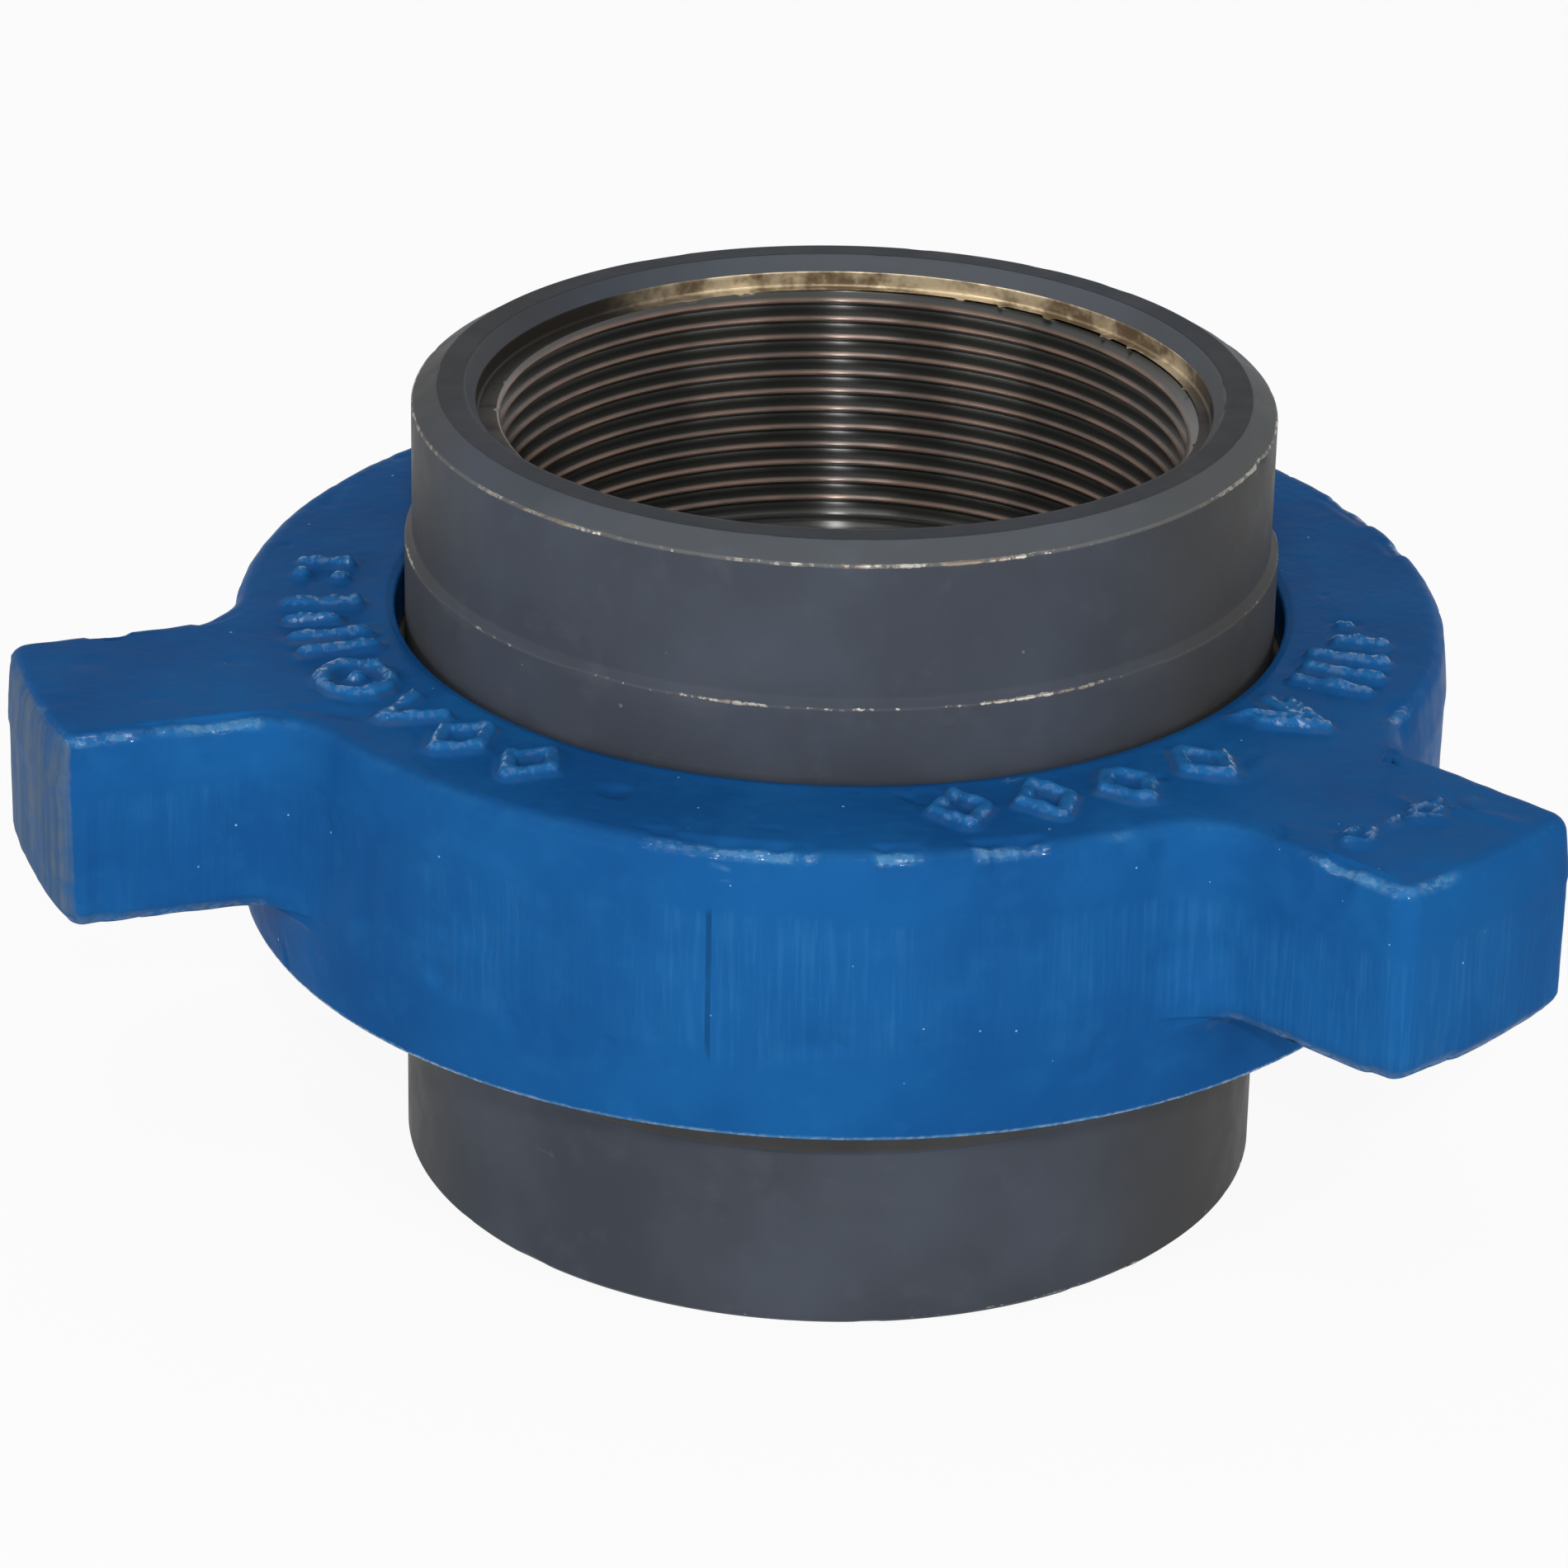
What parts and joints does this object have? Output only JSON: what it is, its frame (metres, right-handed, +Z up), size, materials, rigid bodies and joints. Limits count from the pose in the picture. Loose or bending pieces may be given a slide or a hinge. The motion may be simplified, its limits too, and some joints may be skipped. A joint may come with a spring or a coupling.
{
  "type": "hammer union",
  "caption": "Threaded hammer union: two steel pipe subs with a conical metal-to-metal seat, drawn together by a lugged wing nut.",
  "frame": {"origin": "centre of the threaded sub's bottom face, on the flow bore's axis", "axes": "+Z up along the flow bore from the threaded sub to the male sub; one lug of the nut points along +Y"},
  "size_m": [0.245, 0.2312, 0.131],
  "materials": {
    "nut_paint": "thick glossy blue enamel on a steel forging",
    "sub_paint": "satin slate grey coating on turned steel"
  },
  "bodies": {
    "threaded_sub": {"threaded_sub": "sub_paint"},
    "male_sub": {"male_sub": "sub_paint"},
    "wing_nut": {"wing_nut": "nut_paint"}
  },
  "joints": [
    {"name": "union_opening", "type": "slide", "parent": "threaded_sub", "child": "male_sub", "axis": [0, 0, 1], "range_m": [0, 0.03175]},
    {"name": "nut_turn", "type": "hinge", "parent": "male_sub", "child": "wing_nut", "pos_m": [0, 0, 0.07], "axis": [0, 0, 1], "range_deg": [0, 1800]}
  ],
  "couplings": [
    {"joint": "union_opening", "follows": "nut_turn", "m_per_rad": 0.0010106}
  ]
}
